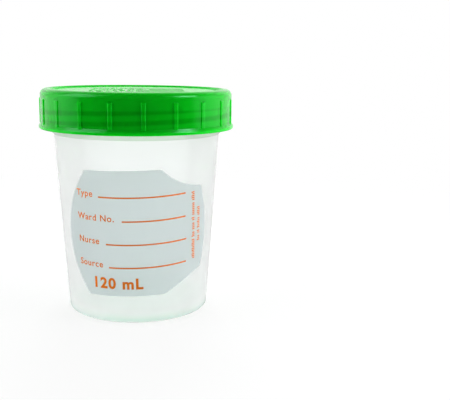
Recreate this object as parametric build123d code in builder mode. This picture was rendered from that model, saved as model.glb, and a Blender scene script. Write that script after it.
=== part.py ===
"""Specimen container, 120 mL: a tapered cup, a one-piece screw lid and a film label.

Sizes are in millimetres and angles in degrees.  +Z is up, the origin is the
centre of the foot on the surface that the cup stands on, and the label faces -Y.
The lid is drawn screwed home on the neck.
"""

import os
from math import atan, cos, hypot, pi, radians, sin

from build123d import *

# ---------------------------------------------------------------- cup: body
cup_height = 70.85       # foot to rim
neck_height = 11.35      # rim down to where the wall starts to flare into the neck
base_radius = 23.65      # outside of the tapered wall, carried down to the foot
body_radius = 27.6       # outside of the wall at the top of the taper
wall = 1.1
floor_thickness = 1.3
foot_recess = 1.4        # the base panel stands this far above the foot ring
foot_width = 2.4         # foot ring, from the wall's outside inwards
foot_edge = 1.1          # rounding round the outside of the foot
inner_corner = 2.4       # rounding between floor and wall, inside

# ---------------------------------------------------------------- cup: neck
neck_step = 1.15         # the neck's outside stands this far outside the body's
neck_wall = 1.3
collar_proud = 0.65      # collar under the thread, outside the neck
collar_height = 0.8
shoulder_rise = 1.8      # cone from the wall out to the collar
rim_chamfer = 0.35       # on both edges of the rim

# ---------------------------------------------------------------- neck thread
thread_starts = 2
thread_lead = 6.35       # rise in one full turn
thread_depth = 1.2       # crest of the thread outside the neck
thread_foot = 2.3        # width of the thread where it meets the neck
thread_crest = 0.9
thread_fade = 12.0       # degrees over which each end of a start dies away
thread_end_depth = 0.2   # what is left of the depth where it ends
thread_gap = 0.2         # from the thread's ends to the collar and to the rim's chamfer
thread_azimuth = -175.0  # where the first start reaches its depth, from the front to the right
thread_sink = 0.4        # how deep the thread is rooted in the neck

# ---------------------------------------------------------------- lid: skirt
thread_clearance = 0.35  # neck's thread to the inside of the skirt
skirt_wall = 1.5
lid_height = 12.9        # bottom of the skirt to the crest of the rim
shoulder_radius = 2.0    # rounding from the skirt over to the crest
crest_land = 0.8         # flat between that rounding and the moat's sharp edge
hem_flare = 0.65         # the hem stands this far outside the skirt
hem_height = 1.9
hem_land = 0.8           # upright part of the hem
mouth_chamfer = 0.6      # lead-in inside the bottom of the skirt
hem_chamfer = 0.25       # under the hem

# ------------------------------------------------- lid: disc, moat and plug seal
disc_drop = 0.5          # disc below the crest
disc_thickness = 1.1
disc_chamfer = 0.2       # where the disc drops into the moat
moat_depth = 2.4         # moat floor below the crest
moat_floor = 0.8
moat_draft = 0.15
lid_web = 1.05           # thickness of the moat's slope and of the crest
plug_wall = 1.35         # from the plug's outside in to the disc's edge
plug_reach = 2.6         # plug's tip below the cup's rim
plug_tip = 0.7           # width of the plug's tip
plug_lead = 1.2          # height of the taper that leads the plug in
plug_clearance = 0.1     # plug to the neck's bore, radially
seat_clearance = 0.05    # moat's underside above the edge of the rim

# ---------------------------------------------------------------- lid: grip ribs
rib_count = 20
rib_width = 1.4
rib_proud = 0.3
rib_shoulder_gap = 1.0   # top of a rib to where the rounded shoulder starts
rib_azimuth = 4.0        # first rib, from the front towards the right
rib_edge = 0.25

# ---------------------------------------------------------------- label
film = 0.12
glue_line = 0.03         # space that the adhesive fills
label_tilt = 1.4         # it is stuck on a little askew, its right side up
label_bottom = 9.4       # height of the straight bottom edge, before the tilt
label_top_margin = 9.2   # straight top edge below the flare of the neck
label_tab_drop = 6.55    # tab's upper corner below the top edge
label_tab_rise = 6.7     # tab's lower corner above the bottom edge
label_left = 25.7        # widest point on the left, along the wall from the front
label_left_corner = 17.1 # ends of the straight edges on the left
label_right_corner = 8.3 # ends of the straight edges on the right
label_tab = 23.6         # corners of the tab on the right
label_bulge = 2.8        # how far the tab's edge curves out past its corners
label_scoop = 1.45       # how far the edge dips in between top corner and tab

# ---------------------------------------------------------------- worked out
body_height = cup_height - neck_height
neck_radius = body_radius + neck_step
bore_radius = neck_radius - neck_wall
collar_radius = neck_radius + collar_proud
collar_bottom = body_height + shoulder_rise
collar_top = collar_bottom + collar_height
floor_height = foot_recess + floor_thickness
taper = (body_radius - base_radius) / body_height

# The thread's flanks run on into the neck, so that they cross its surface.
thread_flank = (thread_foot - thread_crest) / thread_depth
thread_root = thread_foot + thread_flank * thread_sink

# Height of the thread's middle where it reaches and leaves its depth, and the turn between.
thread_room = thread_gap + thread_foot / 2 + thread_lead * thread_fade / 360
thread_low = collar_top + thread_room
thread_high = cup_height - rim_chamfer - thread_room
thread_turn = 360 * (thread_high - thread_low) / thread_lead

skirt_inner = neck_radius + thread_depth + thread_clearance
skirt_radius = skirt_inner + skirt_wall
hem_radius = skirt_radius + hem_flare
plug_radius = bore_radius - plug_clearance
disc_radius = plug_radius - plug_wall
moat_inner = disc_radius + moat_draft
moat_outer = moat_inner + moat_floor
crest_inner = skirt_radius - shoulder_radius - crest_land
moat_slope = moat_depth / (crest_inner - moat_outer)
web_drop = lid_web * hypot(1, moat_slope)      # web's thickness measured straight down

# The underside of the moat's slope meets the edge of the rim.
moat_bottom = cup_height + seat_clearance - moat_slope * (bore_radius - moat_outer) + web_drop
lid_top = moat_bottom + moat_depth
lid_bottom = lid_top - lid_height
disc_top = lid_top - disc_drop
disc_under = disc_top - disc_thickness
crest_under = lid_top - lid_web
plug_end = cup_height - plug_reach

label_top = body_height - label_top_margin
label_mid = (label_bottom + label_top) / 2
tab_top = label_top - label_tab_drop
tab_bottom = label_bottom + label_tab_rise
label_rise = label_left * sin(radians(label_tilt)) + film    # the tilt lifts an edge by less


def wall_radius(height):
    """Outside radius of the tapered wall at a height above the foot."""
    return base_radius + taper * height


def slope_under(radius):
    """Height of the underside of the moat's slope at a radius."""
    return moat_bottom + moat_slope * (radius - moat_outer) - web_drop


def slope_under_radius(height):
    """Radius at which the underside of the moat's slope reaches a height."""
    return moat_outer + (height + web_drop - moat_bottom) / moat_slope


def thread_profile(turned, depth):
    """Section across the thread, this far round from where it reaches its depth, at +X."""
    rise_angle = atan(thread_lead / (2 * pi * neck_radius))
    around = radians(turned)
    across = Plane(
        origin=(
            neck_radius * cos(around),
            neck_radius * sin(around),
            thread_low + thread_lead * turned / 360,
        ),
        x_dir=(cos(around), sin(around), 0),
        z_dir=(-sin(around) * cos(rise_angle), cos(around) * cos(rise_angle), sin(rise_angle)),
    )
    with BuildSketch(across) as profile:
        with BuildLine():
            Polyline(
                (-thread_sink, -thread_root / 2),
                (depth, -thread_crest / 2),
                (depth, thread_crest / 2),
                (-thread_sink, thread_root / 2),
                close=True,
            )
        make_face()
    return profile.sketch


def on_wall(along, height):
    """Front view of a point of the label, given along the wall from the front line and up.

    The label is turned by its tilt about its middle before it is laid on the wall.
    """
    up = height - label_mid
    turned_along = along * cos(radians(label_tilt)) - up * sin(radians(label_tilt))
    turned_height = label_mid + along * sin(radians(label_tilt)) + up * cos(radians(label_tilt))
    radius = wall_radius(turned_height)
    return radius * sin(turned_along / radius), turned_height


# ================================================================ cup
inner_wall = wall / cos(atan(taper))           # wall's thickness measured level
inner_shoulder = body_height + wall            # inside, the wall flares a little higher up

# One start of the right-hand neck thread: a helical run of full depth, and at each end a
# short piece that dies away into the neck.
with BuildPart() as thread:
    with BuildLine(mode=Mode.PRIVATE) as run:
        Helix(
            pitch=thread_lead,
            height=thread_high - thread_low,
            radius=neck_radius,
            center=(0, 0, thread_low),
        )
    sweep(thread_profile(0, thread_depth), path=run.line, is_frenet=True)
    loft(
        [thread_profile(-thread_fade, thread_end_depth), thread_profile(0, thread_depth)],
        ruled=True,
    )
    loft(
        [
            thread_profile(thread_turn, thread_depth),
            thread_profile(thread_turn + thread_fade, thread_end_depth),
        ],
        ruled=True,
    )

# Each corner of a section is (radius, height, rounding).
cup_section = [
    (0, foot_recess, 0),
    (base_radius - foot_width - foot_recess, foot_recess, 0),
    (base_radius - foot_width, 0, 0),
    (base_radius, 0, foot_edge),
    (body_radius, body_height, 0),
    (collar_radius, collar_bottom, 0),
    (collar_radius, collar_top, 0),
    (neck_radius, collar_top, 0),
    (neck_radius, cup_height - rim_chamfer, 0),
    (neck_radius - rim_chamfer, cup_height, 0),
    (bore_radius + rim_chamfer, cup_height, 0),
    (bore_radius, cup_height - rim_chamfer, 0),
    (bore_radius, inner_shoulder + neck_step, 0),
    (wall_radius(inner_shoulder) - inner_wall, inner_shoulder, 0),
    (wall_radius(floor_height) - inner_wall, floor_height, inner_corner),
    (0, floor_height, 0),
]

with BuildPart() as cup:
    with BuildSketch(Plane.XZ) as section:
        with BuildLine():
            Polyline([(radius, height) for radius, height, _ in cup_section], close=True)
        make_face()
        for radius, height, rounding in cup_section:
            if rounding:
                fillet(section.vertices().sort_by_distance((radius, height))[0], rounding)
    revolve(axis=Axis.Z)
    with PolarLocations(0, thread_starts, start_angle=thread_azimuth - 90):
        add(thread.part)

cup.part.label = "cup"

# ================================================================ lid
# One grip rib, standing at +X: its foot is sunk in the skirt and its top is sloped.
rib_bottom = lid_bottom + hem_height - rib_proud
rib_top = lid_top - shoulder_radius - rib_shoulder_gap

with BuildPart() as rib:
    with BuildSketch(Plane.XZ):
        with BuildLine():
            Polyline(
                (skirt_radius - skirt_wall / 2, rib_bottom),
                (skirt_radius + rib_proud, rib_bottom),
                (skirt_radius + rib_proud, rib_top - rib_proud),
                (skirt_radius, rib_top),
                (skirt_radius - skirt_wall / 2, rib_top),
                close=True,
            )
        make_face()
    extrude(amount=rib_width / 2, both=True)
    fillet(rib.edges().filter_by(Axis.Z).group_by(Axis.X)[-1], rib_edge)

lid_section = [
    (0, disc_top, 0),
    (disc_radius - disc_chamfer, disc_top, 0),
    (disc_radius, disc_top - disc_chamfer, 0),
    (moat_inner, moat_bottom, 0),
    (moat_outer, moat_bottom, 0),
    (crest_inner, lid_top, 0),
    (skirt_radius, lid_top, shoulder_radius),
    (skirt_radius, lid_bottom + hem_height, 0),
    (hem_radius, lid_bottom + hem_land, 0),
    (hem_radius, lid_bottom + hem_chamfer, 0),
    (hem_radius - hem_chamfer, lid_bottom, 0),
    (skirt_inner + mouth_chamfer, lid_bottom, 0),
    (skirt_inner, lid_bottom + mouth_chamfer, 0),
    (skirt_inner, crest_under, 0),
    (slope_under_radius(crest_under), crest_under, 0),
    (plug_radius, slope_under(plug_radius), 0),
    (plug_radius, plug_end + plug_lead, 0),
    (disc_radius + plug_tip - moat_draft, plug_end, 0),
    (disc_radius - moat_draft, plug_end, 0),
    (disc_radius - lid_web, disc_under, 0),
    (0, disc_under, 0),
]

with BuildPart() as lid:
    with BuildSketch(Plane.XZ) as section:
        with BuildLine():
            Polyline([(radius, height) for radius, height, _ in lid_section], close=True)
        make_face()
        for radius, height, rounding in lid_section:
            if rounding:
                fillet(section.vertices().sort_by_distance((radius, height))[0], rounding)
    revolve(axis=Axis.Z)
    with PolarLocations(0, rib_count, start_angle=rib_azimuth - 90):
        add(rib.part)

lid.part.label = "lid"

# ================================================================ label
with BuildPart() as label:
    with BuildSketch(Plane.XZ):
        with BuildLine():
            inner = glue_line / cos(atan(taper))
            outer = (glue_line + film) / cos(atan(taper))
            low = label_bottom - label_rise
            high = label_top + label_rise
            Polyline(
                (wall_radius(low) + inner, low),
                (wall_radius(low) + outer, low),
                (wall_radius(high) + outer, high),
                (wall_radius(high) + inner, high),
                close=True,
            )
        make_face()
    revolve(axis=Axis.Z)
    with BuildSketch(Plane.XZ):
        with BuildLine():
            top_left = on_wall(-label_left_corner, label_top)
            bottom_left = on_wall(-label_left_corner, label_bottom)
            top_right = on_wall(label_right_corner, label_top)
            bottom_right = on_wall(label_right_corner, label_bottom)
            tab_high = on_wall(label_tab, tab_top)
            tab_out = on_wall(label_tab + label_bulge, (tab_bottom + tab_top) / 2)
            tab_low = on_wall(label_tab, tab_bottom)
            scoop = on_wall(
                (label_right_corner + label_tab) / 2 - label_scoop / 2,
                (label_top + tab_top) / 2 - label_scoop,
            )
            Line(top_left, top_right)
            ThreePointArc(top_right, scoop, tab_high)
            ThreePointArc(tab_high, tab_out, tab_low)
            Line(tab_low, bottom_right)
            Line(bottom_right, bottom_left)
            ThreePointArc(bottom_left, on_wall(-label_left, label_mid), top_left)
        make_face()
    extrude(amount=2 * body_radius, mode=Mode.INTERSECT)

label.part.label = "label"

# ================================================================ files
os.makedirs("parts", exist_ok=True)
export_step(cup.part, "parts/cup.step")
export_step(lid.part, "parts/lid.step")
export_step(label.part, "parts/label.step")

print(f"overall height {lid_top:.2f}, lid across the hem {2 * hem_radius:.2f}")
print(f"bottom of the skirt at {lid_bottom:.2f}, disc radius {disc_radius:.2f}")
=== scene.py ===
# %% [markdown]
# # A screw-lid specimen container
#
# The cup, the lid and the label come from the CAD model as finished meshes: their shapes
# are right, and here they get their finishes.  What CAD leaves out is made here: the
# print on the label, the raised writing rows on the lid, and the lid's inner thread.
#
# Everything is in metres.  +Z is up and the label faces -Y.

from functools import reduce
from math import atan, atan2, cos, hypot, pi, radians, sin

import bmesh
import bpy
from mathutils import Matrix, Vector


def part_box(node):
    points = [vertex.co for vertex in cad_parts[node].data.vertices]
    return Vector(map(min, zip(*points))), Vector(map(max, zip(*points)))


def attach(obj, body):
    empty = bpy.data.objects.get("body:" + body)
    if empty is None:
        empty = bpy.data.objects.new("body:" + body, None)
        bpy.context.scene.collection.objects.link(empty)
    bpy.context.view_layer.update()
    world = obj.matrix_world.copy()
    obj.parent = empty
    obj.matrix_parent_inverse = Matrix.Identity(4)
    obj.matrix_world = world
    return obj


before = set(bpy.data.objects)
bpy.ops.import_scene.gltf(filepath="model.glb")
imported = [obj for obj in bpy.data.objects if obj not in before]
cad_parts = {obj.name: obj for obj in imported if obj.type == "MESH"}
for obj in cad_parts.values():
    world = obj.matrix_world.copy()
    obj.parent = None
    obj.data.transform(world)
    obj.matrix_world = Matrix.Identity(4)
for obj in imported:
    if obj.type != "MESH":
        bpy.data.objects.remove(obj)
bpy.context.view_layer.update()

MM = 0.001
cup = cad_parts["cup"]
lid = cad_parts["lid"]
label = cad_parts["label"]
lid_low, lid_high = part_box("lid")
print("lid from", round(lid_low.z / MM, 2), "to", round(lid_high.z / MM, 2), "mm")

# %% [markdown]
# ## The camera
#
# The container stands left of the middle of the picture, seen from a little above the lid
# with a rather long lens.  An aim constraint would put it in the middle, so the direction
# is given as three turns instead, in the order in which a tripod head is set: pan, tilt,
# and a trace of roll.
#
# Light also has to find its way along inside the cup's wall, from face to face.  That
# takes many more bounces than Blender allows at first, or the wall turns dark.

# %% Camera
camera_place = Vector((0.00314, -0.25912, 0.08495))
camera_pan = radians(5.957)      # to the right
camera_tilt = radians(10.655)    # downwards
camera_roll = radians(0.695)
lens_length = 60.77              # mm, on the sensor below
sensor_width = 36                # mm
light_bounces = 24

lens = bpy.data.cameras.new("camera")
lens.sensor_fit = "HORIZONTAL"
lens.sensor_width = sensor_width
lens.lens = lens_length
lens.clip_start = 0.01
camera = bpy.data.objects.new("camera", lens)
camera.matrix_world = (
    Matrix.Translation(camera_place)
    @ Matrix.Rotation(-camera_pan, 4, "Z")
    @ Matrix.Rotation(radians(90) - camera_tilt, 4, "X")
    @ Matrix.Rotation(camera_roll, 4, "Z")
)
scene = bpy.context.scene
scene.collection.objects.link(camera)
bpy.context.scene.camera = camera
scene.view_settings.view_transform = "Standard"
scene.cycles.max_bounces = light_bounces
scene.cycles.glossy_bounces = light_bounces
scene.cycles.transmission_bounces = light_bounces
print("camera", [round(c, 4) for c in camera_place], "lens", lens.lens)

# %% [markdown]
# ## Helpers for materials
#
# Every finish here is one Principled shader, with nodes that feed its sockets.  Nodes can
# be placed and wired by hand in the shader editor, but in a script each takes three or
# four lines.  These helpers bring that down to one, and name the sockets as Blender does.

# %% Materials and nodes
def new_material(name, **settings):
    """A material with one Principled shader, whose sockets are set by name."""
    material = bpy.data.materials.new(name)
    material.use_nodes = True
    shader = material.node_tree.nodes["Principled BSDF"]
    for socket, value in settings.items():
        shader.inputs[socket.replace("_", " ")].default_value = value
    return material, shader


def add_node(tree, kind, sockets=None, **settings):
    """A node with its sockets set, by name or number, to values or to other sockets."""
    node = tree.nodes.new(kind)
    for name, value in settings.items():
        setattr(node, name, value)
    for socket, value in (sockets or {}).items():
        if isinstance(value, bpy.types.NodeSocket):
            tree.links.new(value, node.inputs[socket])
        else:
            node.inputs[socket].default_value = value
    return node


def finish(tree, shader, **sockets):
    """Links the shader's sockets, by name, to what the nodes made."""
    for name, value in sockets.items():
        tree.links.new(value, shader.inputs[name.replace("_", " ")])


print("a new material starts from one Principled shader")

# %% [markdown]
# ### Noise and ramps
#
# Three things make moulded plastic look real: a slow drift of colour, a roughness that
# isn't the same everywhere, and a very shallow bump.  All three could be painted as
# pictures, but noise needs no unwrapping and stays sharp at any distance.  It is made in
# object space, so the pattern stays on the piece when the lid is lifted.

# %% Noise and ramps
noise_low = 0.3                  # nearly all of a noise lies between these two
noise_high = 0.7


def object_place(tree):
    """The place on the piece, in its own coordinates."""
    return add_node(tree, "ShaderNodeTexCoord").outputs["Object"]


def axes_of(tree, vector):
    """A vector's three numbers, as outputs X, Y and Z."""
    return add_node(tree, "ShaderNodeSeparateXYZ", {0: vector}).outputs


def noise(tree, place, scale, detail=3.0, stretch=(1, 1, 1)):
    """Noise with features about 1/scale metres across, drawn out along the axes."""
    shrink = tuple(1 / s for s in stretch)
    drawn = add_node(tree, "ShaderNodeMapping", {"Vector": place, "Scale": shrink})
    sockets = {"Vector": drawn.outputs[0], "Scale": scale, "Detail": detail}
    return add_node(tree, "ShaderNodeTexNoise", sockets).outputs["Fac"]


def between(tree, factor, low, high):
    """A number that runs from low to high over the middle of a noise."""
    middle = {"From Min": noise_low, "From Max": noise_high}
    sockets = {"Value": factor, **middle, "To Min": low, "To Max": high}
    return add_node(tree, "ShaderNodeMapRange", sockets).outputs[0]


def ramp(tree, value, start, end):
    """0 before start and 1 after end, with a soft step in between."""
    sockets = {"Value": value, "From Min": start, "From Max": end}
    node = add_node(tree, "ShaderNodeMapRange", sockets, interpolation_type="SMOOTHSTEP")
    return node.outputs[0]


print("noise is read between", noise_low, "and", noise_high)

# %% [markdown]
# ### Sums, colours and bump
#
# A Math node takes two or three values, so a longer sum is a chain of nodes.  Wired one
# by one, the chains would bury what they work out.  With a helper for each kind of step
# they read like formulas.

# %% Sums, colours and bump
def calc(tree, operation, *values):
    """A Math node on numbers or sockets."""
    node = add_node(tree, "ShaderNodeMath", dict(enumerate(values)), operation=operation)
    return node.outputs[0]


def product(tree, *factors):
    """All the factors multiplied."""
    return reduce(lambda first, second: calc(tree, "MULTIPLY", first, second), factors)


def largest(tree, *values):
    """The largest of the values."""
    return reduce(lambda first, second: calc(tree, "MAXIMUM", first, second), values)


def blend(tree, factor, first, second):
    """A colour between two, each given as a colour or as a socket."""
    colours = [c if isinstance(c, bpy.types.NodeSocket) else (*c, 1) for c in (first, second)]
    sockets = {0: factor, 6: colours[0], 7: colours[1]}      # the Mix node's colour sockets
    return add_node(tree, "ShaderNodeMix", sockets, data_type="RGBA").outputs[2]


def relief(tree, height, depth):
    """A bump of this depth in metres, from a height between 0 and 1."""
    return add_node(tree, "ShaderNodeBump", {"Distance": depth, "Height": height}).outputs[0]


print("helpers are ready")

# %% [markdown]
# ## Cup: translucent polypropylene
#
# Polypropylene lets light through but scatters it, so the cup looks milky.  A volume
# shader would do that as it happens in the plastic, but it is slow and noisy in a wall
# 1 mm thick.  A rough transmission gives the same soft look.  Frosting alone hides too
# much of what stands behind, though, so Alpha lets a share of the light straight through.
#
# The foot has painted shade and painted green reflected light: its colour turns darker and
# greener towards the bottom.  The mould leaves a satin face with faint flow lines that run up
# the wall.

# %% Cup material
milk_drift = 60                  # noise scales are counted in features per metre
flow_lines = 900
flow_length = 14                 # times as long as they are wide
flow_depth = 0.01 * MM
pale_milk = (0.935, 0.985, 0.965)
clear_milk = (0.96, 1.0, 0.985)
# Painted shade and green reflected light on the foot, full at the very bottom
foot_shade_green = (0.24, 0.64, 0.42)
foot_shade_height = 4.5 * MM           # the tint begins here and is full at the very bottom

cup_plastic, cup_shader = new_material(
    "milky polypropylene", IOR=1.49, Transmission_Weight=0.95, Alpha=0.4
)
tree = cup_plastic.node_tree
place = object_place(tree)
# where the foot's painted shade lies
at_foot_shade = ramp(tree, axes_of(tree, place)["Z"], foot_shade_height, 0.0)
flow = noise(tree, place, flow_lines, detail=4, stretch=(1, 1, flow_length))
milk = blend(tree, noise(tree, place, milk_drift), pale_milk, clear_milk)
finish(
    tree,
    cup_shader,
    Base_Color=blend(tree, at_foot_shade, milk, foot_shade_green),
    Roughness=between(tree, flow, 0.30, 0.40),
    Normal=relief(tree, flow, flow_depth),
)
cup.material_slots[0].material = cup_plastic
print("cup:", cup_plastic.name)

# %% [markdown]
# ## Lid: green plastic, with painted light where it is thin
#
# The lid is the same plastic with a strong green pigment and a polished mould.  It isn't
# quite opaque, and three things show that: a soft glow as light wanders about inside, two
# darker bands on the skirt, and paler places where the plastic is thin.  The bands are
# painted shade and the paler places are painted light.
#
# The glow comes first.  A volume inside the lid could give it, but slowly.  The shader's
# Subsurface settings do the same near the surface: green travels furthest, about 3 mm,
# and red hardly at all, so the shaded parts stay a pure green.  The tinted specular keeps
# the reflections of the white tent from turning the green chalky.

# %% Lid plastic
glow_reach = 3 * MM              # how far light travels inside

lid_plastic, lid_shader = new_material(
    "glossy green plastic",
    IOR=1.5,
    Specular_IOR_Level=0.45,
    Specular_Tint=(0.35, 1.0, 0.7, 1.0),
    Subsurface_Weight=1.0,
    Subsurface_Radius=(0.1, 1.0, 0.3),
    Subsurface_Scale=glow_reach,
)
print(lid_plastic.name, "glows within", round(glow_reach / MM, 1), "mm")

# %% [markdown]
# ### Painted shade bands that follow the thread
#
# Where the inner thread backs the skirt the plastic is nearly twice as thick, and less light
# comes through it.  The bands are painted shade: a darker green in the lid's colour along the
# thread.  Painted bands would have to be lined up with the thread by eye.  Here the material and
# the mesh use the same sizes, so they match by themselves.
#
# Height and angle go up together along a thread, by one lead in each turn, so their
# difference is the same all along it.  That difference, counted in pitches, is a whole
# number on each crest.  The Ping-Pong operation turns it into the distance from the
# nearest crest, and a ramp makes a soft band of that.  There is no seam at the back,
# because one lead is exactly two pitches.

# %% Lid bands
thread_lead = 6.35 * MM          # the thread's rise in one turn
thread_starts = 2
thread_pitch = thread_lead / thread_starts
lid_thread_azimuth = 7.0         # lower end of the first start, to the right of the front
lid_thread_low = 65.3 * MM       # its height there
band_low = 63.2 * MM             # the bands show between these heights
band_high = 69.4 * MM
band_strength = 0.5
band_dark = 0.10                 # full within this distance of a crest, in pitches
band_edge = 0.36                 # and gone at this one
band_fade = thread_pitch / 3     # at the upper and lower end of the bands

tree = lid_plastic.node_tree
place = object_place(tree)
axes = axes_of(tree, place)
turn = calc(tree, "ARCTAN2", axes["X"], calc(tree, "MULTIPLY", axes["Y"], -1.0))
climb = calc(tree, "MULTIPLY_ADD", turn, thread_lead / (2 * pi), lid_thread_low)
climb = calc(tree, "SUBTRACT", climb, thread_lead * lid_thread_azimuth / 360)
pitches = calc(tree, "DIVIDE", calc(tree, "SUBTRACT", axes["Z"], climb), thread_pitch)
on_crest = ramp(tree, calc(tree, "PINGPONG", pitches, 0.5), band_edge, band_dark)
# Painted shade: the skirt's green turns darker along the thread's crests
thread_band_shade = product(
    tree,
    on_crest,
    ramp(tree, axes["Z"], band_low, band_low + band_fade),
    ramp(tree, axes["Z"], band_high, band_high - band_fade),
    band_strength,
)
print("bands from", round(band_low / MM, 1), "to", round(band_high / MM, 1), "mm")

# %% [markdown]
# ### Painted light on thin places
#
# Light that comes through thin plastic is a paler green than light that bounces off it.
# It shows in three places: on the top inside the crest, on the rounded edges of the ribs,
# and on the lower edge of the hem.  Real translucency would need light from behind in
# every view, so these places have painted light: a lighter pigment, chosen by where they
# are.  On the ribs' edges it is also a painted highlight.
#
# The ribs are found as the thread was: the angle, counted in ribs, goes through Ping-Pong,
# which gives the distance from the nearest rib's middle.  Each rib has two edges, one on
# either side, so its lines lie where that distance is half the rib's width.

# %% Lid thin places
rib_count = 20
rib_azimuth = radians(4.0)       # first rib, from the front towards the right
rib_face = 32.1 * MM             # radius of the ribs' faces
rib_face_depth = 0.25 * MM       # what counts as the face
rib_low = 63.0 * MM
rib_high = 71.3 * MM
rib_line = 0.62 * MM             # from a rib's middle to its rounded edge
line_core = 0.08 * MM            # the line is full within this distance
line_edge = 0.28 * MM            # and gone at this one
crest_inner = 29.0 * MM
crest_fade = 0.3 * MM
moat_bottom = 71.9 * MM
hem_top = 62.9 * MM
rib_glow = 0.7
top_glow = 0.9
hem_glow = 0.8

flat = add_node(tree, "ShaderNodeVectorMath", {0: place, 1: (1, 1, 0)}, operation="MULTIPLY")
flat = add_node(tree, "ShaderNodeVectorMath", {0: flat.outputs[0]}, operation="LENGTH")
from_axis = flat.outputs["Value"]

rib_turn = 2 * pi / rib_count
ribs = calc(tree, "DIVIDE", calc(tree, "SUBTRACT", turn, rib_azimuth), rib_turn)
from_rib = calc(tree, "MULTIPLY", calc(tree, "PINGPONG", ribs, 0.5), rib_turn * rib_face)
from_line = calc(tree, "ABSOLUTE", calc(tree, "SUBTRACT", from_rib, rib_line))
on_line = product(
    tree,
    ramp(tree, from_line, line_edge, line_core),
    rib_glow,
    calc(tree, "COMPARE", axes["Z"], (rib_low + rib_high) / 2, (rib_high - rib_low) / 2),
    calc(tree, "GREATER_THAN", from_axis, rib_face - rib_face_depth),
)
on_top = product(
    tree,
    ramp(tree, from_axis, crest_inner, crest_inner - crest_fade),
    top_glow,
    calc(tree, "GREATER_THAN", axes["Z"], moat_bottom),
)
on_hem = product(tree, ramp(tree, axes["Z"], hem_top, lid_low.z), hem_glow)
# Painted light: a paler green on the ribs' edges, the top inside the crest and the hem's lower
# edge
thin_painted_light = largest(tree, on_line, on_top, on_hem)
print(rib_count, "ribs, each with two paler lines")

# %% [markdown]
# ### The lid's finish
#
# Now the pigment, the painted light of the thin places and the painted shade of the bands
# are laid over each other, from the widest to the narrowest.  They could be three materials
# on three sets of faces, but then each would end in a hard edge, and here they fade into one
# another.
#
# Subsurface fails on the small pieces that are sunk into the lid, because light gets lost
# inside them and they turn dark.  They get a copy of the material without it.

# %% Lid material
pigment_drift = 55
polish_grain = 400
skin_grain = 1500
skin_depth = 0.004 * MM
deep_green = (0.0015, 0.40, 0.006)
full_green = (0.003, 0.465, 0.011)
lit_green = (0.004, 0.60, 0.018)
band_shade_green = (0.0003, 0.22, 0.002)

pigment = blend(tree, noise(tree, place, pigment_drift), deep_green, full_green)
# Painted light on the thin places
pigment = blend(tree, thin_painted_light, pigment, lit_green)
finish(
    tree,
    lid_shader,
    # Painted shade along the thread bands
    Base_Color=blend(tree, thread_band_shade, pigment, band_shade_green),
    Roughness=between(tree, noise(tree, place, polish_grain), 0.16, 0.24),
    Normal=relief(tree, noise(tree, place, skin_grain, detail=2), skin_depth),
)
lid.material_slots[0].material = lid_plastic

solid_green = lid_plastic.copy()
solid_green.name = "solid green plastic"
solid_green.node_tree.nodes["Principled BSDF"].inputs["Subsurface Weight"].default_value = 0.0
print("lid:", lid_plastic.name, "and", solid_green.name)

# %% [markdown]
# ## Pieces that ride on a body
#
# The thread, the printed rules and the raised ones are all the same kind of shape: a
# section that travels along a path.  A curve with a bevel makes such a shape too, but its
# section stays the same.  Here the sections are given one by one, so they may shrink
# towards an end or turn with the wall.
#
# Each finished piece then rides on the body that it belongs to, so the lid takes its
# thread and rows along when it is lifted, and the cup keeps its print.

# %% Pieces
def sweep_sections(mesh, sections):
    """Joins sections of equal length into a closed tube with a cap at each end."""
    rings = [[mesh.verts.new(point) for point in section] for section in sections]
    for first, second in zip(rings, rings[1:]):
        for i, corner in enumerate(first):
            j = (i + 1) % len(first)
            mesh.faces.new((corner, first[j], second[j], second[i]))
    mesh.faces.new(rings[0][::-1])
    mesh.faces.new(rings[-1])


def add_piece(name, mesh, material, body):
    """Turns a bmesh into an object that rides on a CAD body."""
    bmesh.ops.recalc_face_normals(mesh, faces=mesh.faces[:])
    data = bpy.data.meshes.new(name)
    mesh.to_mesh(data)
    mesh.free()
    piece = bpy.data.objects.new(name, data)
    scene.collection.objects.link(piece)
    data.materials.append(material)
    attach(piece, body)
    print(name, "has", len(data.polygons), "faces")
    return piece


print("pieces ride on the bodies container and cap")

# %% [markdown]
# ## The lid's inner thread
#
# The thread is a low trapezoid swept along a helix inside the skirt.  A screw modifier
# could do it, but a lid's thread also fades out at both ends, so here each cross-section
# is placed by itself: the loop walks round the helix and makes the sections smaller
# towards the ends.  The thread fills the grooves between the turns of the cup's thread.

# %% Lid thread
skirt_inner = 30.3 * MM
lid_thread_turn = 210.0          # degrees
lid_thread_depth = 1.1 * MM
lid_thread_foot = 1.6 * MM
lid_thread_crest = 0.6 * MM
lid_thread_sink = 0.3 * MM       # its foot is buried in the skirt
lid_thread_fade = 14.0           # degrees
lid_thread_tip = 0.05            # fullness that is left at the very ends
section_step = 3.0               # degrees between sections


def round_lid(azimuth, radius, height):
    """A point of the lid, by its azimuth in degrees from the front towards the right."""
    turn = radians(azimuth)
    return Vector((radius * sin(turn), -radius * cos(turn), height))


def thread_section(azimuth, height, fullness):
    """The four corners of one section, which sinks into the skirt as fullness drops."""
    foot = lid_thread_foot / 2
    crest = lid_thread_crest / 2 * fullness
    inner = skirt_inner - lid_thread_depth * fullness
    outer = skirt_inner + lid_thread_sink
    corners = [(outer, -foot), (inner, -crest), (inner, crest), (outer, foot)]
    return [round_lid(azimuth, radius, height + up) for radius, up in corners]


def thread_start(mesh, azimuth):
    """One start of the thread, from its lower end."""
    sections = []
    for k in range(int(lid_thread_turn / section_step) + 1):
        turned = k * section_step
        to_end = min(turned, lid_thread_turn - turned)
        fullness = max(lid_thread_tip, min(1.0, to_end / lid_thread_fade))
        height = lid_thread_low + thread_lead * turned / 360
        sections.append(thread_section(azimuth + turned, height, fullness))
    sweep_sections(mesh, sections)


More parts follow.
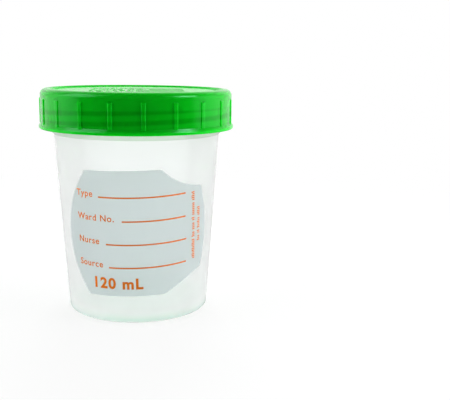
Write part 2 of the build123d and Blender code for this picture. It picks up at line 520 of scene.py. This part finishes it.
thread = bmesh.new()
for start in range(thread_starts):
    thread_start(thread, lid_thread_azimuth + start * 360 / thread_starts)
add_piece("lid_thread", thread, solid_green, "cap")

# %% [markdown]
# ## Label: a matte film
#
# The label is a thin grey film that can be written on.  It is matte, lets some light
# through, and lies on its glue with a faint mottle.  A plain diffuse grey would look like
# card.  A rough transmission keeps it part of the cup: what is behind it still lights it.

# %% Label material
film_drift = 70
film_mottle = 500
mottle_depth = 0.006 * MM
film_grey = (0.80, 0.86, 0.87)
film_pale = (0.84, 0.90, 0.90)

label_film, label_shader = new_material(
    "write-on film", IOR=1.45, Transmission_Weight=0.85
)
tree = label_film.node_tree
place = object_place(tree)
mottle = noise(tree, place, film_mottle, detail=4)
finish(
    tree,
    label_shader,
    Base_Color=blend(tree, noise(tree, place, film_drift), film_grey, film_pale),
    Roughness=between(tree, mottle, 0.50, 0.62),
    Normal=relief(tree, mottle, mottle_depth),
)
label.material_slots[0].material = label_film
print("label:", label_film.name)

# %% [markdown]
# ## From the flat label to the wall
#
# The print was laid out on a flat film, and the film was then stuck on a tapered wall.
# A shrinkwrap modifier would press the print on the wall, but it would squeeze it too.
# A cone can be unrolled instead: its wall becomes a sector of a ring about the cone's
# apex, which here lies far below the cup.  So a point of the flat film goes to the wall by
# its distance and its angle from the apex.  Straight rules then bend on the wall just as
# they do on a real cup.

# %% Film to wall
base_radius = 23.65 * MM
body_radius = 27.6 * MM
body_height = 59.5 * MM
label_lift = 0.15 * MM           # glue and film
label_middle = 29.85 * MM        # height of the film's middle
label_tilt = radians(1.4)        # its right side is up

slope = (body_radius - base_radius) / body_height
cone_angle = atan(slope)


def wall_radius(height):
    """Outside radius of the tapered wall."""
    return base_radius + slope * height


apex = wall_radius(label_middle) / sin(cone_angle)


def on_film(along, up, out=0.0):
    """A point of the film: along and up from its middle when flat, and out from its face."""
    turned_along = along * cos(label_tilt) - up * sin(label_tilt)
    turned_up = along * sin(label_tilt) + up * cos(label_tilt)
    reach = hypot(turned_along, apex + turned_up)
    around = atan2(turned_along, apex + turned_up) / sin(cone_angle)
    height = label_middle + (reach - apex) * cos(cone_angle)
    radius = wall_radius(height) + (label_lift + out) / cos(cone_angle)
    return Vector((radius * sin(around), -radius * cos(around), height))


print("unrolled, the wall's apex is", round(apex / MM), "mm below the label's middle")

# %% [markdown]
# ## Ink
#
# Screen-printed ink is a thin opaque layer with a slight relief.  It could be a mask in
# the film's material, but then its edges would be only as sharp as the mask.  So each
# mark is a closed solid a few hundredths of a millimetre thick.  It catches the light at
# its edge, and it doesn't flicker against the film, because its foot is sunk into it.

# %% Ink material
ink_grain = 2500
ink_relief = 0.003 * MM
ink_orange = (0.78, 0.18, 0.005)
ink_bright = (0.85, 0.22, 0.009)
ink_low = -0.01 * MM             # from the film's face
ink_high = 0.02 * MM
bend_step = 0.5 * MM             # marks are cut this finely, so that they follow the wall

ink, ink_shader = new_material("orange ink", IOR=1.5, Specular_IOR_Level=0.1)
tree = ink.node_tree
coverage = noise(tree, object_place(tree), ink_grain, detail=3)
finish(
    tree,
    ink_shader,
    Base_Color=blend(tree, coverage, ink_orange, ink_bright),
    Roughness=between(tree, coverage, 0.42, 0.58),
    Normal=relief(tree, coverage, ink_relief),
)


def strip(mesh, left, right, low, high):
    """A printed bar between two places along the film, bent to the wall."""
    steps = max(1, int((right - left) / bend_step))
    sections = []
    for k in range(steps + 1):
        along = left + (right - left) * k / steps
        corners = [(low, ink_low), (high, ink_low), (high, ink_high), (low, ink_high)]
        sections.append([on_film(along, up, out) for up, out in corners])
    sweep_sections(mesh, sections)


print("ink:", ink.name, round((ink_high - ink_low) / MM, 3), "mm thick")

# %% [markdown]
# ## Letters
#
# The printed words and the raised ones both start as letters.  A text object gives clean
# ones, but it can't be bent or cut, so it is turned into a mesh.  That mesh has a front
# and a back layer of corners.  They are marked by the sign of their height, and whoever
# uses the letters decides how high each layer lies.

# %% Letters
cap_share = 0.73                 # height of a capital in a font of size 1
letter_steps = 4                 # pieces in each curve of an outline
top_layer = 0.001                # how far below the highest corner still counts as the top
same_place = 0.001 * MM          # corners closer than this become one


def letters(text, height, weight=0.0, spacing=1.0, chamfer=0.0):
    """Letters as a bmesh, starting at the origin: their top is at z > 0, their foot at z < 0."""
    size = height / cap_share
    curve = bpy.data.curves.new("letters", "FONT")
    curve.body = text
    curve.size = 1.0
    curve.offset = weight
    curve.space_character = spacing
    curve.extrude = 0.5
    curve.resolution_u = letter_steps
    curve.bevel_depth = chamfer / size
    curve.bevel_resolution = 0
    source = bpy.data.objects.new("letters", curve)
    scene.collection.objects.link(source)
    bpy.context.view_layer.update()
    outline = bpy.data.meshes.new_from_object(source)
    bpy.data.objects.remove(source)
    mesh = bmesh.new()
    mesh.from_mesh(outline)
    bpy.data.meshes.remove(outline)
    top = max(corner.co.z for corner in mesh.verts) - top_layer
    for corner in mesh.verts:
        x, y, z = corner.co
        corner.co = (x * size, y * size, 1.0 if z > top else -1.0)
    bmesh.ops.remove_doubles(mesh, verts=mesh.verts[:], dist=same_place)
    return mesh


print("capitals are", cap_share, "of the font's size")

# %% [markdown]
# ## Printed words
#
# To print a word, its letters are cut into narrow upright bands, and each corner is moved
# to the wall.  Without the cuts a broad letter would stay flat and sink into the film in
# its middle.  A curve modifier could bend the text as it is, but round a circle and not
# round a cone.

# %% Printed words
def cut_bands(mesh, step):
    """Cuts the mesh by upright planes, this far apart."""
    left = min(corner.co.x for corner in mesh.verts)
    right = max(corner.co.x for corner in mesh.verts)
    for k in range(1, int((right - left) / step) + 1):
        everything = mesh.verts[:] + mesh.edges[:] + mesh.faces[:]
        bmesh.ops.bisect_plane(
            mesh, geom=everything, plane_co=(left + k * step, 0, 0), plane_no=(1, 0, 0)
        )


def print_words(name, text, along, up, height, **style):
    """Prints words on the film, from their left end."""
    mesh = letters(text, height, **style)
    cut_bands(mesh, bend_step)
    for corner in mesh.verts:
        out = ink_high if corner.co.z > 0 else ink_low
        corner.co = on_film(along + corner.co.x, up + corner.co.y, out)
    return add_piece(name, mesh, ink, "container")


print("words are cut every", round(bend_step / MM, 2), "mm")

# %% [markdown]
# ## The form on the label
#
# The film carries a small form: four rows, each with a word and a rule to write on, and
# the volume in bold figures below them.  The rows are the same but for their word and the
# length of their rule, so a table and a loop make them all.

# %% Label print
rows_on_label = [                # each row's word, and where its rule starts and ends, in mm
    ("Type", -12.2, 16.5),
    ("Ward No.", -4.7, 16.4),
    ("Nurse", -10.2, 16.6),
    ("Source", -9.5, 16.4),
]
first_rule = 11.9 * MM           # above the label's middle
rule_gap = 7.65 * MM
rule_width = 0.46 * MM
word_drop = 0.1 * MM             # words stand a little lower than their rule's middle
word_left = -20.7 * MM
word_height = 2.15 * MM
volume_left = -15.6 * MM
volume_foot = -18.0 * MM         # below the label's middle
volume_height = 3.6 * MM

lines = bmesh.new()
for row, (word, left, right) in enumerate(rows_on_label):
    middle = first_rule - row * rule_gap
    strip(lines, left * MM, right * MM, middle - rule_width / 2, middle + rule_width / 2)
    print_words(
        "print_" + word.split()[0].lower(),
        word,
        word_left,
        middle - word_drop,
        word_height,
        weight=0.014,
        spacing=1.12,
    )
add_piece("print_rules", lines, ink, "container")
print_words(
    "print_volume", "120 mL", volume_left, volume_foot, volume_height, weight=0.035, spacing=1.15
)

# %% [markdown]
# ## Small print
#
# Two columns of small print run up the right-hand side.  At their size nobody reads them,
# and real letters would cost thousands of faces, so each letter is only a tick.  The
# ticks stand in groups like words, and about a third of them are taller, as in lower case.

# %% Small print
tick_gap = 0.62 * MM             # from tick to tick
tick_width = 0.36 * MM
tick_tall = 1.3 * MM
tick_short = 0.95 * MM
columns = [                      # place along the film, lower end, and the words' lengths
    (20.3 * MM, -10.9 * MM, [11, 3, 4, 2, 7, 5]),
    (22.85 * MM, -5.3 * MM, [3, 2, 6, 5]),
]


def is_tall(k, word):
    """Picks the taller ticks of a word, in a pattern that doesn't look regular."""
    return (k * k + word) % 3 == 0


ticks = bmesh.new()
for along, up, words in columns:
    for word in words:
        for k in range(word):
            left = along - (tick_tall if is_tall(k, word) else tick_short)
            strip(ticks, left, along, up, up + tick_width)
            up += tick_gap
        up += tick_gap
add_piece("print_small", ticks, ink, "container")

# %% [markdown]
# ## Raised rows on the lid
#
# The disc carries rows to write on: a word and a rule, both moulded in low relief.  They
# are the same letters as on the label, but flat, and thick enough to be felt.  A bump map
# would shade them and leave the disc flat.  Real relief also shows from the side.  Their
# sides slope, as they must for the mould to let go.

# %% Lid rows
disc_top = lid_high.z - 0.5 * MM
raised = 0.08 * MM
sunk = 0.08 * MM
row_chamfer = 0.12 * MM
row_gap = 5.7 * MM
first_row = 7.2 * MM
lid_words = ["TYPE:", "WARD NO:", "NURSE:", "SOURCE:", "HOUR:"]
lid_word_left = -15.5 * MM
lid_word_height = 2.5 * MM
lid_rule_gap = 0.9 * MM          # from a word to its rule
lid_rule_right = 15.5 * MM
lid_rule_width = 0.25 * MM       # across its flat top


def raised_rule(mesh, left, right, low):
    """A raised line with sloped sides on the disc."""
    high = low + lid_rule_width
    foot = [(low - row_chamfer, -sunk), (high + row_chamfer, -sunk)]
    corners = foot + [(high, raised), (low, raised)]
    sweep_sections(mesh, [[(x, y, disc_top + z) for y, z in corners] for x in (left, right)])


rows = bmesh.new()
for row, word in enumerate(lid_words):
    base = first_row - row * row_gap
    mesh = letters(word, lid_word_height, weight=-0.02, spacing=1.08, chamfer=row_chamfer)
    for corner in mesh.verts:
        x, y, z = corner.co
        corner.co = (lid_word_left + x, base + y, disc_top + (raised if z > 0 else -sunk))
    word_end = max(corner.co.x for corner in mesh.verts)
    raised_rule(mesh, word_end + lid_rule_gap, lid_rule_right, base)
    data = bpy.data.meshes.new("row")
    mesh.to_mesh(data)
    mesh.free()
    rows.from_mesh(data)
    bpy.data.meshes.remove(data)
add_piece("lid_rows", rows, solid_green, "cap")

# %% [markdown]
# ## Floor
#
# The container stands in a white light tent, and its floor runs into the white of the
# background without an edge.  A floor that is lit until it is white would need so much
# light that the cup would be washed out.  So the floor shows two things at once, chosen by
# the kind of ray that reaches it.  To the camera it is mostly its own white, with a share
# of plain diffuse grey near the container that takes the soft contact shadow.  Rays that
# come from the gloss, or through the plastic, see white too, but gloss sees it only
# behind, because the front of the tent is dark.  All other light meets the diffuse grey.

# %% Floor
floor_half = 3.0                 # metres from the middle to an edge
floor_grey = (0.8, 0.8, 0.8, 1)
own_white = 0.78                 # share of its own white, right beside the object
shadow_near = 0.05               # that share holds up to this distance, in metres
shadow_far = 0.30                # and the floor is all white from here
behind_end = 0.6                 # gloss sees full white from this far back

floor_mesh = bmesh.new()
bmesh.ops.create_grid(floor_mesh, x_segments=1, y_segments=1, size=floor_half)
floor_data = bpy.data.meshes.new("floor")
floor_mesh.to_mesh(floor_data)
floor_mesh.free()
floor = bpy.data.objects.new("floor", floor_data)
scene.collection.objects.link(floor)


def seen_through(tree, path):
    """1 for a ray that has passed through plastic, else 0."""
    crossings = calc(tree, "ADD", path["Transmission Depth"], path["Transparent Depth"])
    return calc(tree, "MINIMUM", crossings, 1.0)


floor_white = bpy.data.materials.new("white floor")
floor_white.use_nodes = True
tree = floor_white.node_tree
tree.nodes.clear()
path = add_node(tree, "ShaderNodeLightPath").outputs
place = object_place(tree)
behind = ramp(tree, axes_of(tree, place)["Y"], 0.0, behind_end)
through = seen_through(tree, path)
away = add_node(tree, "ShaderNodeVectorMath", {0: place}, operation="LENGTH").outputs["Value"]
near = calc(tree, "SUBTRACT", 1.0, ramp(tree, away, shadow_near, shadow_far))
share = calc(tree, "MULTIPLY_ADD", near, own_white - 1.0, 1.0)
share = calc(tree, "MULTIPLY", path["Is Camera Ray"], share)
share = largest(tree, share, through, path["Is Glossy Ray"])
bright = largest(tree, path["Is Camera Ray"], through, behind)
grey = add_node(tree, "ShaderNodeBsdfDiffuse", {"Color": floor_grey})
glow = add_node(tree, "ShaderNodeEmission", {"Strength": bright})
mixed = add_node(tree, "ShaderNodeMixShader", {0: share, 1: grey.outputs[0], 2: glow.outputs[0]})
add_node(tree, "ShaderNodeOutputMaterial", {"Surface": mixed.outputs[0]})
floor_data.materials.append(floor_white)
print("floor", 2 * floor_half, "m across")

# %% [markdown]
# ## The tent
#
# The world is the tent.  It is bright at the back and dark at the front, where the camera
# looks in, and that is what gives the lid its deep green middle between two brighter
# flanks.  A picture of a studio could light the part as well, but a ramp from front to
# back is plainer and can be tuned by one number.  The Light Path node does for the world
# what it did for the floor: the camera, and rays through the plastic, see pure white,
# while gloss sees the white only well behind.

# %% World
front_level = 0.06               # light from the front of the tent; the back gives 1
tent_front = -0.3                # the change runs between these depths of the direction
tent_back = 0.5
gloss_front = 0.1                # and for reflections between these
gloss_back = 0.85

world = bpy.data.worlds.new("light tent")
scene.world = world
world.use_nodes = True
tree = world.node_tree
tree.nodes.clear()
direction = add_node(tree, "ShaderNodeTexCoord").outputs["Generated"]
depth = axes_of(tree, direction)["Y"]
path = add_node(tree, "ShaderNodeLightPath").outputs
lit = ramp(tree, depth, tent_front, tent_back)
lit = calc(tree, "MULTIPLY_ADD", lit, 1.0 - front_level, front_level)
mirrored = ramp(tree, depth, gloss_front, gloss_back)
unmirrored = calc(tree, "SUBTRACT", lit, calc(tree, "MULTIPLY", path["Is Glossy Ray"], lit))
level = calc(tree, "MULTIPLY_ADD", path["Is Glossy Ray"], mirrored, unmirrored)
level = largest(tree, level, path["Is Camera Ray"], seen_through(tree, path))
sky = add_node(tree, "ShaderNodeBackground", {"Color": (1, 1, 1, 1), "Strength": level})
add_node(tree, "ShaderNodeOutputWorld", {"Surface": sky.outputs[0]})
print("tent from", front_level, "in front to 1 behind")

# %% [markdown]
# ## Lamps
#
# Two soft lamps high on the left and right put the long highlights on the lid's shoulder.
# The other three only fill: one lights the lid's top from behind, and two stand for the
# tent's side walls, which brighten the lid's flanks.  Their outlines would show as hard
# squares in the gloss and through the clear wall, so reflected and transmitted rays don't
# see them.  Hiding a lamp from some rays changes what is seen and not how much it lights.

# %% Lamps
lamp_target = Vector((0, 0, 0.045))


def soft_lamp(name, place, size, power, seen=True):
    """A square area lamp that looks at the container, seen in gloss and plastic or not."""
    data = bpy.data.lights.new(name, "AREA")
    data.size = size
    data.energy = power
    lamp = bpy.data.objects.new(name, data)
    scene.collection.objects.link(lamp)
    lamp.location = place
    lamp.visible_glossy = seen
    lamp.visible_transmission = seen
    toward = lamp_target - Vector(place)
    lamp.rotation_euler = toward.to_track_quat("-Z", "Y").to_euler()
    print(name, power, "W")
    return lamp


soft_lamp("right lamp", (0.46, -0.20, 0.42), size=0.22, power=1.1)
soft_lamp("left lamp", (-0.45, -0.10, 0.40), size=0.40, power=0.8)
soft_lamp("back lamp", (0.05, 0.45, 0.55), size=0.30, power=1.8, seen=False)
soft_lamp("right wall", (0.50, 0.02, 0.10), size=0.40, power=2.8, seen=False)
soft_lamp("left wall", (-0.50, 0.02, 0.10), size=0.40, power=1.4, seen=False)
